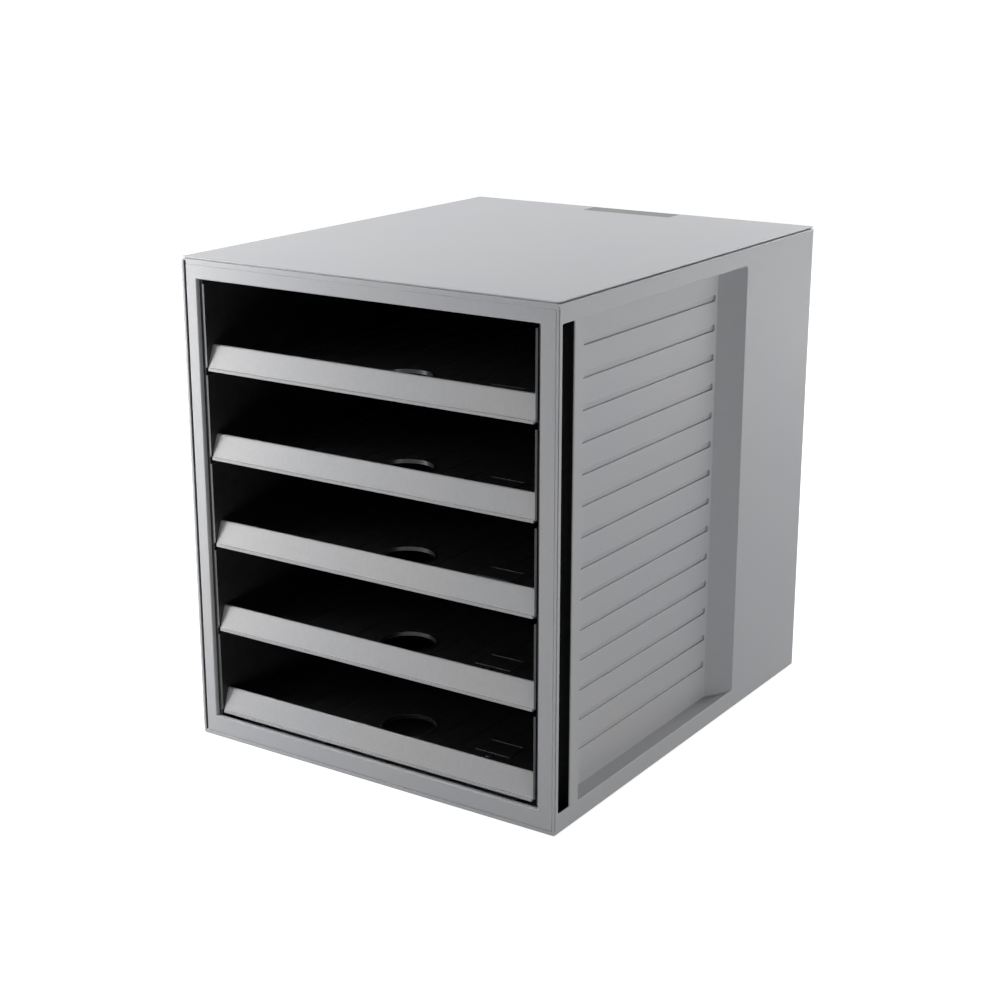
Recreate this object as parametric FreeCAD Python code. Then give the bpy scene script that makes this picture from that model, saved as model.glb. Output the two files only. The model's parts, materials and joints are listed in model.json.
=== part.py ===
import FreeCAD, Part
import math
import os

# Desktop file drawer: a casing of moulded panels with five open trays on rails.
# Millimetres. +Z is up, the front faces -Y, and the origin is the bottom centre of the casing.

# Trays: these sizes drive the casing round them
tray_count = 5
tray_width = 246.0
tray_length = 323.8
tray_height = 54.75
tray_gap = 3.0
tray_wall = 1.5
tray_setback = 1.2
tray_corner = 2.5
tray_inner_corner = 1.0
tray_top_round = 0.7
skid_height = 1.9
skid_width = 7.0
floor_thick = 2.0
hole_diameter = 35.0
hole_from_front = 44.0
travel = 235.0
slide_gap = 0.3

# Casing
wall = 2.3
foot_drop = 0.6
under_room = 14.6
head_room = 13.45
rim_setback = 0.2
rim_wall = 1.6
rim_round = 0.4
rim_land = 0.5
seam_width = 1.0
seam_depth = 1.0
seam_round = 0.3
overrun = 5.0

# Side panels
band_height = 13.1
slot_start = 4.6
slot_width = 12.8
slot_edge = 0.9
slot_relief = 3.0
middle_band = 9.9
rear_band = 99.4
pan_gap = 0.7
recess_depth = 11.5
recess_slant = 18.8
groove_first = 22.6
groove_pitch = 19.27
groove_height = 4.2
groove_depth = 1.3
groove_end_gap = 2.8
groove_round = 1.2
side_top_round = 1.3
side_rear_round = 2.0

# Top panel
top_thick = 2.4
top_flange = 0.8
top_seam = 0.8
top_front_seam = 0.5
top_seam_depth = 0.8
top_inset = 0.3
top_edge_round = 0.5
top_corner_round = 1.2
top_lip_height = 3.2
top_lip_round = 0.4
top_lip_inset = 0.2

# Base panel, and the stiffening ribs of the top and the base
base_thick = 2.6
rib_wall = 1.6
rib_height = 5.0
rib_margin = 14.0
length_rib_count = 5
cross_rib_count = 3

# Rear panel
rear_wall = 2.0
rear_inset = 0.4
rear_field_margin = 14.0
rear_field_depth = 0.6
rear_field_round = 8.0

# Posts and rails
runner_gap = 0.5
runner_wall = 2.0
runner_front_wall = 1.2
post_gap = 0.3
liner_wall = 0.5
liner_gap = 0.1
liner_start = 0.8
ledge_reach = 10.0
ledge_thick = 1.5
ledge_setback = 12.0
rear_stop_height = 6.0

# Front frame
frame_thick = 3.0
frame_left_gap = 2.1
frame_joint = 0.3
frame_top_joint = 0.1
frame_side_joint = 0.05
frame_edge_round = 0.3
window_side_gap = 2.7
window_under_gap = 2.9
window_over_gap = 3.15
window_round = 1.0
tab_width = 20.0
tab_length = 9.0
tab_wall = 1.8
tab_spread = 160.0

# Raised blank plate on each tray floor
plate_centre_x = 68.0
plate_from_front = 48.0
plate_width = 26.0
plate_depth = 18.0
plate_border = 1.2
plate_height = 0.5

# Fine lengthwise grooves in each tray floor
floor_groove_pitch = 20.2
floor_groove_shift = 4.5
floor_groove_width = 1.2
floor_groove_depth = 0.4
floor_groove_margin = 8.0

# Tray stops: a tab on each rear corner meets a rib under the ledge above
stop_tab_length = 8.0
stop_tab_height = 0.8
stop_length = 6.0
stop_height = 0.9
stop_inset = 0.2

# Tray fronts
limb_depth = 0.9
strip_depth = 7.0
lip_gap = 0.2
lip_setback = 1.4
lip_lean = 5.1
lip_top = 16.1
lip_wall = 2.0
lip_round = 0.9
lip_seat_gap = 0.1

# Rubber feet
foot_radius = 7.0
foot_gap = 0.1
foot_height = 1.8
foot_bevel = 0.5
foot_inset_x = 20.0
foot_inset_y = 22.0

# Bare plate in the top
badge_width = 70.0
badge_length = 18.6
badge_depth = 0.8
badge_thick = 0.7
badge_gap = 0.15
badge_round = 1.5

# The casing, worked out from the trays
tray_pitch = tray_height + tray_gap
base_top = foot_drop + base_thick
tray_first = base_top + under_room
half_width = tray_width / 2 + pan_gap + wall + recess_depth
case_height = tray_first + tray_count * tray_pitch + head_room
rear_room = slide_gap + runner_wall + post_gap + rear_wall + rear_inset
case_depth = tray_setback + tray_length + rear_room

# Places across the width
side_inner = half_width - wall
rim_inner = half_width - rim_wall
recess_floor = half_width - recess_depth
runner_face = tray_width / 2 + runner_gap
runner_web = runner_face + runner_wall
tray_inner = tray_width / 2 - tray_wall
window_half = tray_width / 2 + window_side_gap

# Places along the depth
front_y = -case_depth / 2
rear_y = case_depth / 2
seam_start = front_y + rim_setback + rim_land
seam_end = seam_start + seam_width
slot_front = front_y + slot_start
slot_back = slot_front + slot_width
recess_front = slot_back + middle_band
recess_back = rear_y - rear_band
frame_back = front_y + frame_thick
rim_step = frame_back + runner_front_wall
rear_outer = rear_y - rear_inset
rear_inner = rear_outer - rear_wall
post_back = rear_inner - post_gap
tray_front = front_y + tray_setback
tray_back = tray_front + tray_length
limb_back = tray_front + limb_depth

# Heights
top_under = case_height - top_thick
side_top = case_height - top_flange - top_seam
top_lip_top = case_height - top_flange - top_front_seam
lip_under = top_lip_top - top_lip_height
band_top = case_height - band_height
window_bottom = tray_first - window_under_gap
window_top = tray_first + tray_count * tray_pitch - tray_gap + window_over_gap
floor_top = skid_height + floor_thick


def vec(x, y, z):
    return FreeCAD.Vector(x, y, z)


def block(x0, x1, y0, y1, z0, z1):
    return Part.makeBox(x1 - x0, y1 - y0, z1 - z0, vec(x0, y0, z0))


def disc(x, y, z0, z1, radius):
    return Part.makeCylinder(radius, z1 - z0, vec(x, y, z0), vec(0, 0, 1))


def outline_face(corners, place):
    # Each corner is (a, b, radius): a straight outline whose corners are rounded where the radius isn't zero.
    # place turns (a, b) into a point.
    count = len(corners)
    pieces = []
    starts = []
    ends = []
    for index in range(count):
        here = corners[index]
        before = corners[index - 1]
        after = corners[(index + 1) % count]
        radius = here[2]
        if radius == 0:
            starts.append((here[0], here[1]))
            ends.append((here[0], here[1]))
            pieces.append(None)
            continue
        to_before = unit(before[0] - here[0], before[1] - here[1])
        to_after = unit(after[0] - here[0], after[1] - here[1])
        cosine = to_before[0] * to_after[0] + to_before[1] * to_after[1]
        half_angle = math.acos(cosine) / 2
        cut_back = radius / math.tan(half_angle)
        middle = unit(to_before[0] + to_after[0], to_before[1] + to_after[1])
        to_arc = radius / math.sin(half_angle) - radius
        starts.append((here[0] + to_before[0] * cut_back, here[1] + to_before[1] * cut_back))
        ends.append((here[0] + to_after[0] * cut_back, here[1] + to_after[1] * cut_back))
        pieces.append((here[0] + middle[0] * to_arc, here[1] + middle[1] * to_arc))
    edges = []
    for index in range(count):
        following = (index + 1) % count
        if pieces[index]:
            arc = Part.Arc(place(*starts[index]), place(*pieces[index]), place(*ends[index]))
            edges.append(arc.toShape())
        edges.append(Part.makeLine(place(*ends[index]), place(*starts[following])))
    return Part.Face(Part.Wire(edges))


def unit(a, b):
    length = math.hypot(a, b)
    return (a / length, b / length)


def plan_prism(corners, z0, z1):
    # Outline in X and Y, raised from z0 to z1.
    face = outline_face(corners, lambda a, b: vec(a, b, z0))
    return face.extrude(vec(0, 0, z1 - z0))


def front_prism(corners, y0, y1):
    # Outline in X and Z, run from y0 back to y1.
    face = outline_face(corners, lambda a, b: vec(a, y0, b))
    return face.extrude(vec(0, y1 - y0, 0))


def side_prism(corners, x0, x1):
    # Outline in Y and Z, run from x0 to x1.
    face = outline_face(corners, lambda a, b: vec(x0, a, b))
    return face.extrude(vec(x1 - x0, 0, 0))


def frame_corners(a0, a1, b0, b1, radius):
    return [(a0, b0, radius), (a1, b0, radius), (a1, b1, radius), (a0, b1, radius)]


def mirrored(shape):
    return shape.mirror(vec(0, 0, 0), vec(1, 0, 0))


def round_edges(shape, radius, test):
    # Rounds the edges whose two ends and middle all pass the test.
    chosen = []
    for edge in shape.Edges:
        points = [vertex.Point for vertex in edge.Vertexes]
        points.append(edge.valueAt((edge.FirstParameter + edge.LastParameter) / 2))
        if all(test(point) for point in points):
            chosen.append(edge)
    return shape.makeFillet(radius, chosen)


def near(a, b):
    return abs(a - b) < seam_depth / 100


def save(shape, node):
    solid = shape.removeSplitter()
    if len(solid.Solids) != 1 or not solid.isValid():
        raise RuntimeError(node + " isn't one sound solid")
    solid.Solids[0].exportStep("parts/" + node + ".step")


def save_pair(shape, node):
    save(shape, "right_" + node)
    save(mirrored(shape), "left_" + node)


# Side panels

def side_sheet():
    # Plan section of the right wall, with the front rim, the shadow groove and the rounded rear corner.
    step = half_width - seam_depth
    corners = [
        (rim_inner, front_y + rim_setback, 0),
        (half_width, front_y + rim_setback, rim_round),
        (half_width, seam_start, 0),
        (step, seam_start, 0),
        (step, seam_end, 0),
        (half_width, seam_end, seam_round),
        (half_width, rear_y, side_rear_round),
        (side_inner, rear_y, 0),
        (side_inner, rim_step, 0),
        (rim_inner, rim_step, 0),
    ]
    sheet = plan_prism(corners, foot_drop, side_top)
    section = [
        (side_inner, foot_drop, 0),
        (half_width, foot_drop, 0),
        (half_width, side_top, side_top_round),
        (side_inner, side_top, 0),
    ]
    return sheet.common(front_prism(section, front_y, rear_y))


def pan_shift():
    # How far back the slanted rear wall of the pan lies behind that of the recess.
    return wall * math.hypot(recess_depth, recess_slant) / recess_depth


def pan_back(x):
    # Y of the pan's slanted rear wall, on its hidden side, at a place across the width.
    return recess_back - recess_slant * (half_width - x) / recess_depth + pan_shift()


def recess_pan():
    # The solid that the recess is hollowed from: the recess grown inwards by one wall.
    inner_x = recess_floor - wall
    corners = [
        (side_inner, recess_front - wall, 0),
        (inner_x, recess_front - wall, 0),
        (inner_x, pan_back(inner_x), 0),
        (side_inner, pan_back(side_inner), 0),
    ]
    return plan_prism(corners, band_height - wall, band_top + wall)


def recess_void():
    corners = [
        (half_width + overrun, recess_front, 0),
        (recess_floor, recess_front, 0),
        (recess_floor, recess_back - recess_slant, 0),
        (half_width, recess_back, 0),
        (half_width + overrun, recess_back, 0),
    ]
    return plan_prism(corners, band_height, band_top)


def slat_grooves():
    end = recess_back - recess_slant - groove_end_gap
    count = 1 + int((band_top - band_height - groove_first - groove_height) / groove_pitch)
    grooves = []
    for index in range(count):
        low = band_height + groove_first + index * groove_pitch
        high = low + groove_height
        corners = [
            (recess_front, low, 0),
            (end, low, groove_round),
            (end, high, groove_round),
            (recess_front, high, 0),
        ]
        grooves.append(side_prism(corners, recess_floor - groove_depth, half_width))
    return grooves


def side_panel():
    # Right side panel, whose rim still runs up to its top: only the left one keeps that. The wall is thinner
    # round the slot.
    slot = block(side_inner - overrun, half_width + overrun, slot_front, slot_back, band_height, band_top)
    relief = block(side_inner - overrun, half_width - slot_edge, slot_front - slot_edge,
                   slot_back + slot_relief, band_height - slot_relief, band_top + slot_relief)
    over_base_lip = block(side_inner, half_width + overrun, front_y, seam_end, 0, base_top)
    sheet = side_sheet().cut(relief)
    return sheet.fuse(recess_pan()).cut([slot, recess_void(), over_base_lip] + slat_grooves())


def under_top_lip():
    # Room that the right side panel leaves for the end of the top's lip.
    return block(side_inner, half_width + overrun, front_y, seam_end, lip_under, case_height)


# Top and base panels

def stiffening_ribs(z0, z1):
    # Lengthwise and cross ribs over the middle of a panel, clear of the rails.
    x_end = runner_face - ledge_reach - rib_margin
    y_start = front_y + rib_margin
    y_end = rear_inner - rib_margin
    ribs = []
    for index in range(length_rib_count):
        x = x_end * (2 * index / (length_rib_count - 1) - 1)
        ribs.append(block(x - rib_wall / 2, x + rib_wall / 2, y_start, y_end, z0, z1))
    for index in range(cross_rib_count):
        y = y_start + rib_wall / 2 + (y_end - y_start - rib_wall) * index / (cross_rib_count - 1)
        ribs.append(block(-x_end, x_end, y - rib_wall / 2, y + rib_wall / 2, z0, z1))
    return ribs


def badge_outline(grow):
    y1 = rear_outer
    y0 = y1 - badge_length
    half = badge_width / 2
    return [
        (-half - grow, y0 - grow, badge_round),
        (half + grow, y0 - grow, badge_round),
        (half + grow, y1, 0),
        (-half - grow, y1, 0),
    ]


def top_panel():
    # A flange with an open seam under its front and sides, and a lip under the front seam. A strip behind the
    # lip closes the top of the open joint beside the frame.
    flange_half = half_width - top_inset
    flange_under = case_height - top_flange
    flange = plan_prism([
        (-flange_half, front_y + top_inset, top_corner_round),
        (flange_half, front_y + top_inset, top_corner_round),
        (flange_half, rear_outer, 0),
        (-flange_half, rear_outer, 0),
    ], flange_under, case_height)
    flange = round_edges(flange, top_edge_round, lambda point: near(point.z, case_height))
    plate = block(-side_inner, side_inner, front_y + top_seam_depth, rear_outer, top_under, flange_under)
    lip = block(frame_left_gap - rim_inner, half_width - top_lip_inset, front_y + rim_setback, seam_end,
                lip_under, top_lip_top)
    lip = round_edges(lip, top_lip_round, lambda point: near(point.y, front_y + rim_setback))
    over_open_joint = block(frame_side_joint - rim_inner, frame_left_gap - rim_inner,
                            front_y + rim_setback + top_lip_round, seam_end, top_under, top_lip_top)
    panel = plate.fuse([flange, lip, over_open_joint] + stiffening_ribs(top_under - rib_height, top_under))
    pocket = plan_prism(badge_outline(badge_gap), case_height - badge_depth, case_height + overrun)
    return panel.cut(pocket)


def base_panel():
    lip_half = half_width - top_lip_inset
    plate = block(-side_inner, side_inner, seam_end, rear_inner, foot_drop, base_top)
    lip = block(-lip_half, lip_half, front_y + rim_setback, seam_end, foot_drop, base_top)
    panel = plate.fuse([lip] + stiffening_ribs(base_top, base_top + rib_height))
    pockets = []
    for x, y in foot_places().values():
        pockets.append(disc(x, y, 0, foot_height, foot_radius + foot_gap))
    return panel.cut(pockets)


# Rear panel

def rear_panel():
    panel = block(-side_inner, side_inner, rear_inner, rear_outer, foot_drop, top_under)
    margin = rear_field_margin
    field = front_prism(
        frame_corners(-side_inner + margin, side_inner - margin, foot_drop + margin, top_under - margin,
                      rear_field_round),
        rear_outer - rear_field_depth, rear_outer + overrun)
    return panel.cut(field)


# Front frame

def front_frame():
    low = base_top + frame_joint
    high = lip_under - frame_top_joint
    left = frame_left_gap - rim_inner
    right = rim_inner - frame_side_joint
    plate = block(left, right, front_y, frame_back, low, high)
    plate = round_edges(plate, frame_edge_round, lambda point: near(point.y, front_y))
    window = block(-window_half, window_half, front_y - overrun, frame_back + overrun,
                   window_bottom, window_top)
    plate = plate.cut(window)
    plate = round_edges(plate, window_round, on_window_front)
    return plate.fuse(frame_tabs(low, high))


def on_window_front(point):
    inside = abs(point.x) < window_half + seam_depth
    inside = inside and window_bottom - seam_depth < point.z < window_top + seam_depth
    return near(point.y, front_y) and inside


def frame_tabs(low, high):
    # Four tongues behind the frame, under the top panel and over the base panel.
    tabs = []
    for x in (-tab_spread / 2, tab_spread / 2):
        left = x - tab_width / 2
        right = x + tab_width / 2
        tabs.append(block(left, right, frame_back - tab_wall / 2, frame_back + tab_length,
                          top_under - tab_wall, top_under))
        tabs.append(block(left, right, frame_back - tab_wall / 2, frame_back, high - tab_wall, top_under))
        tabs.append(block(left, right, frame_back - tab_wall / 2, frame_back + tab_length,
                          base_top, base_top + tab_wall))
        tabs.append(block(left, right, frame_back - tab_wall / 2, frame_back, base_top, low + tab_wall))
    return tabs


# Posts and rails

def front_post():
    # Right front post: a channel behind the side slot.
    back = recess_front - wall - post_gap
    web = block(runner_face, runner_web, frame_back, back, base_top, top_under)
    return web.fuse([
        block(runner_face, rim_inner, frame_back, rim_step, base_top, top_under),
        block(runner_face, side_inner, back - runner_wall, back, base_top, top_under),
    ])


def post_liner():
    # Thin wall along the inside of the rim, which darkens the open joint beside the frame. Only the left post
    # has it.
    return block(rim_inner - liner_wall, rim_inner, front_y + liner_start, rim_step, base_top + liner_gap,
                 top_under)


def rear_post():
    # Right rear post: a channel that turns its open side to the side panel.
    start = pan_back(side_inner) + post_gap
    web = block(runner_face, runner_web, start, post_back, base_top, top_under)
    return web.fuse([
        block(runner_face, side_inner, start, start + runner_wall, base_top, top_under),
        block(runner_face, side_inner, post_back - runner_wall, post_back, base_top, top_under),
    ])


def rail(index):
    # Right rail that carries tray number index and holds down the one under it, counted from the bottom.
    top = tray_first + index * tray_pitch - slide_gap
    under = top - ledge_thick
    inner = runner_face - ledge_reach
    ledge = block(inner, runner_face, frame_back + ledge_setback, post_back, under, top)
    pieces = []
    if index > 0:
        pieces.append(stop_rib(under))
    if index < tray_count:
        pieces.append(block(inner, runner_face, tray_back + slide_gap, post_back, top,
                            top + rear_stop_height))
    return ledge.fuse(pieces)


def stop_rib(under):
    rear = tray_back - stop_tab_length - travel - slide_gap
    return block(tray_inner, runner_face - stop_inset, rear - stop_length, rear, under - stop_height, under)


# Trays

def tray_section():
    # Front view of the tray body: walls, skids and raised floor.
    outer = tray_width / 2
    skid = outer - skid_width
    return [
        (-outer, tray_height, 0),
        (-outer, 0, tray_corner),
        (-skid, 0, 0),
        (-skid, skid_height, 0),
        (skid, skid_height, 0),
        (skid, 0, 0),
        (outer, 0, tray_corner),
        (outer, tray_height, 0),
        (tray_inner, tray_height, 0),
        (tray_inner, floor_top, tray_inner_corner),
        (-tray_inner, floor_top, tray_inner_corner),
        (-tray_inner, tray_height, 0),
    ]


def tray():
    # One tray, with its underside at Z 0.
    outer = tray_width / 2
    body = front_prism(tray_section(), limb_back, tray_back)
    back_wall = block(-tray_inner, tray_inner, tray_back - tray_wall, tray_back, skid_height, tray_height)
    tabs = []
    for x0, x1 in ((-outer, -tray_inner), (tray_inner, outer)):
        tabs.append(block(x0, x1, tray_back - stop_tab_length, tray_back, tray_height - tray_wall,
                          tray_height + stop_tab_height))
    body = body.cut(floor_grooves())
    body = body.fuse([back_wall, raised_plate()] + tabs)
    under_strip = block(-outer, outer, limb_back, tray_front + strip_depth, 0, skid_height)
    corner_top = floor_top + tray_inner_corner
    lip_seat = block(-tray_inner, tray_inner, limb_back, lip_back(corner_top) + lip_seat_gap, 0, corner_top)
    return body.cut([finger_hole(), under_strip, lip_seat])


def floor_grooves():
    # Even lines from the lip to the rear wall, as many as fit on the floor.
    reach = tray_inner - floor_groove_margin
    first = -int((reach + floor_groove_shift) / floor_groove_pitch)
    last = int((reach - floor_groove_shift) / floor_groove_pitch)
    grooves = []
    for index in range(first, last + 1):
        x = floor_groove_shift + index * floor_groove_pitch
        grooves.append(block(x - floor_groove_width / 2, x + floor_groove_width / 2,
                             tray_front + strip_depth + floor_groove_margin, tray_back - tray_wall,
                             floor_top - floor_groove_depth, floor_top + overrun))
    return grooves


def finger_hole():
    return disc(0, front_y + hole_from_front, 0, floor_top + overrun, hole_diameter / 2)


def raised_plate():
    # Bare raised rectangle on the floor, with a thin border.
    x0 = plate_centre_x - plate_width / 2
    x1 = plate_centre_x + plate_width / 2
    y0 = front_y + plate_from_front - plate_depth / 2
    y1 = y0 + plate_depth
    top = floor_top + plate_height
    plate = block(x0, x1, y0, y1, skid_height, top)
    field = block(x0 + plate_border, x1 - plate_border, y0 + plate_border, y1 - plate_border,
                  floor_top + plate_height / 2, top + overrun)
    return plate.cut(field)


def lip_slope():
    return lip_lean / (lip_top - skid_height)


def lip_back(height):
    # Y of the lip's rear face at a height above the tray's underside.
    thickness = lip_wall * math.hypot(1, lip_slope())
    return tray_front + lip_setback + lip_slope() * (height - skid_height) + thickness


# Tray fronts

def tray_front_piece():
    # Bottom strip, two side edges and the lip between them, with the underside at Z 0.
    outer = tray_width / 2
    frame = front_prism([
        (-outer, tray_height, tray_top_round),
        (-outer, 0, tray_corner),
        (outer, 0, tray_corner),
        (outer, tray_height, tray_top_round),
        (tray_inner, tray_height, tray_top_round),
        (tray_inner, skid_height, tray_inner_corner),
        (-tray_inner, skid_height, tray_inner_corner),
        (-tray_inner, tray_height, tray_top_round),
    ], tray_front, limb_back)
    strip = front_prism([
        (-outer, tray_height, 0),
        (-outer, 0, tray_corner),
        (outer, 0, tray_corner),
        (outer, tray_height, 0),
    ], limb_back, tray_front + strip_depth)
    strip = strip.common(block(-outer, outer, limb_back, tray_front + strip_depth, 0, skid_height))
    return frame.fuse([strip, lip()])


def lip():
    # Leaning plate, with its front foot on the strip and a rounded top.
    foot = tray_front + lip_setback
    corners = [
        (foot, skid_height, 0),
        (lip_back(skid_height), skid_height, 0),
        (lip_back(lip_top), lip_top, lip_round),
        (foot + lip_lean, lip_top, lip_round),
    ]
    return side_prism(corners, -tray_inner + lip_gap, tray_inner - lip_gap)


# Feet and badge

def foot_places():
    x = half_width - foot_inset_x
    y = rear_y - foot_inset_y
    return {
        "foot_front_left": (-x, -y),
        "foot_front_right": (x, -y),
        "foot_rear_left": (-x, y),
        "foot_rear_right": (x, y),
    }


def foot(x, y):
    pad = disc(x, y, foot_bevel, foot_height, foot_radius)
    sole = Part.makeCone(foot_radius - foot_bevel, foot_radius, foot_bevel, vec(x, y, 0))
    return pad.fuse(sole)


def top_badge():
    low = case_height - badge_depth
    return plan_prism(badge_outline(0), low, low + badge_thick)


def build():
    os.makedirs("parts", exist_ok=True)
    side = side_panel()
    save(mirrored(side), "left_side_panel")
    save(side.cut(under_top_lip()), "right_side_panel")
    save(top_panel(), "top_panel")
    save(base_panel(), "base_panel")
    save(rear_panel(), "rear_panel")
    save(front_frame(), "front_frame")
    post = front_post()
    save(mirrored(post.fuse(post_liner())), "left_front_post")
    save(post, "right_front_post")
    save_pair(rear_post(), "rear_post")
    for index in range(tray_count + 1):
        save_pair(rail(index), "rail_" + str(index + 1))
    body = tray()
    front = tray_front_piece()
    for index in range(tray_count):
        lift = vec(0, 0, tray_first + index * tray_pitch)
        save(body.translated(lift), "tray_" + str(index + 1))
        save(front.translated(lift), "tray_front_" + str(index + 1))
    for node, place in foot_places().items():
        save(foot(*place), node)
    save(top_badge(), "top_badge")


build()
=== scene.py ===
import json
import math

import bpy
from mathutils import Matrix, Vector


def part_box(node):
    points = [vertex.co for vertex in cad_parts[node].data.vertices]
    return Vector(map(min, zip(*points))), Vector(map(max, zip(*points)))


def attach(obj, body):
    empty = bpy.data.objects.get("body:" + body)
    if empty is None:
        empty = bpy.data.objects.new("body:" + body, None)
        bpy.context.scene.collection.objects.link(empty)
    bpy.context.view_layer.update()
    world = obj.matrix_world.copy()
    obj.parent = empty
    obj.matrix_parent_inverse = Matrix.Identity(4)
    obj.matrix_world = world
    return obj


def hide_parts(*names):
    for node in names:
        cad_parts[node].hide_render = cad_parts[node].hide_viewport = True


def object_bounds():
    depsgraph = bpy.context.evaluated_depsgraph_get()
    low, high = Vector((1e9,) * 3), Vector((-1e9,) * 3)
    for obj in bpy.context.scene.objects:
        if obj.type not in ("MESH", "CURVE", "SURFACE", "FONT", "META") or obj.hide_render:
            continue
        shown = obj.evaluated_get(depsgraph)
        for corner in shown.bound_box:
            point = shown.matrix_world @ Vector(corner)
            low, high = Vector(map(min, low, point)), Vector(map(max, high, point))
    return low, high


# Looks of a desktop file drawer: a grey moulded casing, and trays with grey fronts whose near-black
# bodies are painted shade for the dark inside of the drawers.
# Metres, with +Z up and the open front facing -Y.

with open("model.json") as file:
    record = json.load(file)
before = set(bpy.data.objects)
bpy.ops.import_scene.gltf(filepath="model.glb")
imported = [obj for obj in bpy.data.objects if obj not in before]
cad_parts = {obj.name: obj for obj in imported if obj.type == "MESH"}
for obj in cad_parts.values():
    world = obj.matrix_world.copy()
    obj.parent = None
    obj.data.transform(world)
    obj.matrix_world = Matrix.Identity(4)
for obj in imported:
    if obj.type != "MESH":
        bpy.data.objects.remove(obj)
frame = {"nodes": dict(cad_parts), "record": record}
cad_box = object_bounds()
mm = 0.001

# Casing
casing_low, casing_high = cad_box
half_width = casing_high.x
front_y = casing_low.y
rear_y = casing_high.y
wall = 2.3 * mm
rim_wall = 1.6 * mm
rim_depth = 4.2 * mm
rim_setback = 0.2 * mm
rim_land = 0.5 * mm
seam_width = 1.0 * mm
seam_depth = 1.0 * mm
base_lip_top = 3.2 * mm
overlap = 0.3 * mm
overrun = 5.0 * mm
cut_height = 20.0 * mm

# Picking edges, and how many faces their rounds get, with angles in degrees
same_place = 0.05 * mm
pick_margin = 0.45 * mm
flat_cosine = 0.97
fine_steps = 3
round_steps = 4
wide_steps = 5
corner_steps = 6
field_steps = 8
sharp_angle = 55
smooth_angle = 31
panel_break = 0.15 * mm
frame_break = 0.12 * mm
rear_break = 0.2 * mm
foot_break = 0.1 * mm

# Side panels
band = 13.1 * mm
slot_start = 4.6 * mm
slot_width = 12.8 * mm
slot_edge = 0.9 * mm
slot_relief = 3.0 * mm
middle_band = 9.9 * mm
rear_band = 99.4 * mm
recess_depth = 11.5 * mm
recess_slant = 18.8 * mm
recess_corner = 1.8 * mm
slot_corner = 0.8 * mm
groove_first = 22.6 * mm
groove_pitch = 19.27 * mm
groove_height = 4.2 * mm
groove_depth = 1.3 * mm
groove_end_gap = 2.8 * mm
groove_corner = 1.2 * mm
groove_count = 14
top_edge_round = 1.3 * mm
rear_edge_round = 2.0 * mm
mouth_round = 0.45 * mm

# Front frame
frame_thick = 3.0 * mm
frame_joint = 0.3 * mm
frame_top_joint = 0.06 * mm
frame_corner = 0.7 * mm
frame_edge_round = 0.3 * mm
window_half = 125.7 * mm
window_low = 14.9 * mm
window_high = 306.7 * mm
window_round = 0.8 * mm
tab_width = 20.0 * mm
tab_length = 9.0 * mm
tab_wall = 1.8 * mm
tab_spread = 160.0 * mm

# Top, base and rear panels
top_thick = 2.4 * mm
top_flange = 0.8 * mm
top_front_seam = 0.5 * mm
top_seam_depth = 1.3 * mm
top_inset = 0.3 * mm
top_round = 0.3 * mm
top_corner = 1.2 * mm
top_lip_height = 3.2 * mm
top_lip_round = 0.15 * mm
lip_inset = 0.2 * mm
base_thick = 2.6 * mm
rib_width = 1.6 * mm
rib_height = 5.0 * mm
rib_half = 99.5 * mm
rib_margin = 14.0 * mm
length_ribs = 5
cross_ribs = 3
field_margin = 14.0 * mm
field_depth = 0.6 * mm
field_corner = 8.0 * mm

# Plate in the top, and feet
feet = ["foot_front_left", "foot_front_right", "foot_rear_left", "foot_rear_right"]
badge_corner = 1.5 * mm
badge_gap = 0.15 * mm
badge_edge = 0.2 * mm
foot_bevel = 0.5 * mm
foot_gap = 0.1 * mm
sole_rim = 1.6 * mm
sole_dish = 0.3 * mm
foot_sides = 48

# Trays
tray_count = 5
tray_wall = 1.5 * mm
tray_corner = 2.5 * mm
skid_height = 1.9 * mm
skid_width = 7.0 * mm
floor_top = 3.9 * mm
inner_corner = 1.0 * mm
hole_radius = 17.5 * mm
hole_from_front = 44.0 * mm
bead_width = 1.4 * mm
bead_height = 0.7 * mm
bead_round = 0.63 * mm
bead_root = 1.0 * mm
hole_sides = 64
floor_line_pitch = 20.2 * mm
floor_line_shift = 4.5 * mm
floor_line_width = 1.2 * mm
floor_line_depth = 0.4 * mm
floor_line_count = 11
floor_line_start = 15.0 * mm
plate_middle = Vector((68.0 * mm, 48.0 * mm))
plate_size = Vector((26.0 * mm, 18.0 * mm))
plate_border = 1.2 * mm
plate_height = 0.5 * mm
pip_from_front = 35.0 * mm
pip_radius = 2.2 * mm
pip_height = 0.7 * mm
pip_round = 0.665 * mm
pip_sides = 24
stop_tab_length = 8.0 * mm

# Tray fronts
limb_depth = 0.9 * mm
strip_depth = 7.0 * mm
lip_setback = 1.4 * mm
lip_lean = 5.1 * mm
lip_top = 16.1 * mm
lip_wall = 2.0 * mm
lip_root = 0.5 * mm
lip_gap = 0.2 * mm
lip_seat_gap = 0.1 * mm
lip_round = 0.9 * mm
front_top_round = 0.6 * mm
front_edge_round = 0.25 * mm
limb_round = 0.6 * mm

# Colours, as linear values
casing_cool = (0.430, 0.446, 0.475)
casing_warm = (0.457, 0.459, 0.469)
front_cool = (0.388, 0.394, 0.413)
front_warm = (0.408, 0.404, 0.408)
worn_grey = (0.56, 0.56, 0.565)
# Edge colour of the grey parts: partly wear, partly a painted highlight on the rounded edges
edge_grey_and_highlight = (0.72, 0.72, 0.725)
# Near-black tray colour, painted shade for the dark inside of the drawers; the lighter one is dust
black_deep = (0.014, 0.014, 0.015)
black_dusty = (0.021, 0.021, 0.022)
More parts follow.
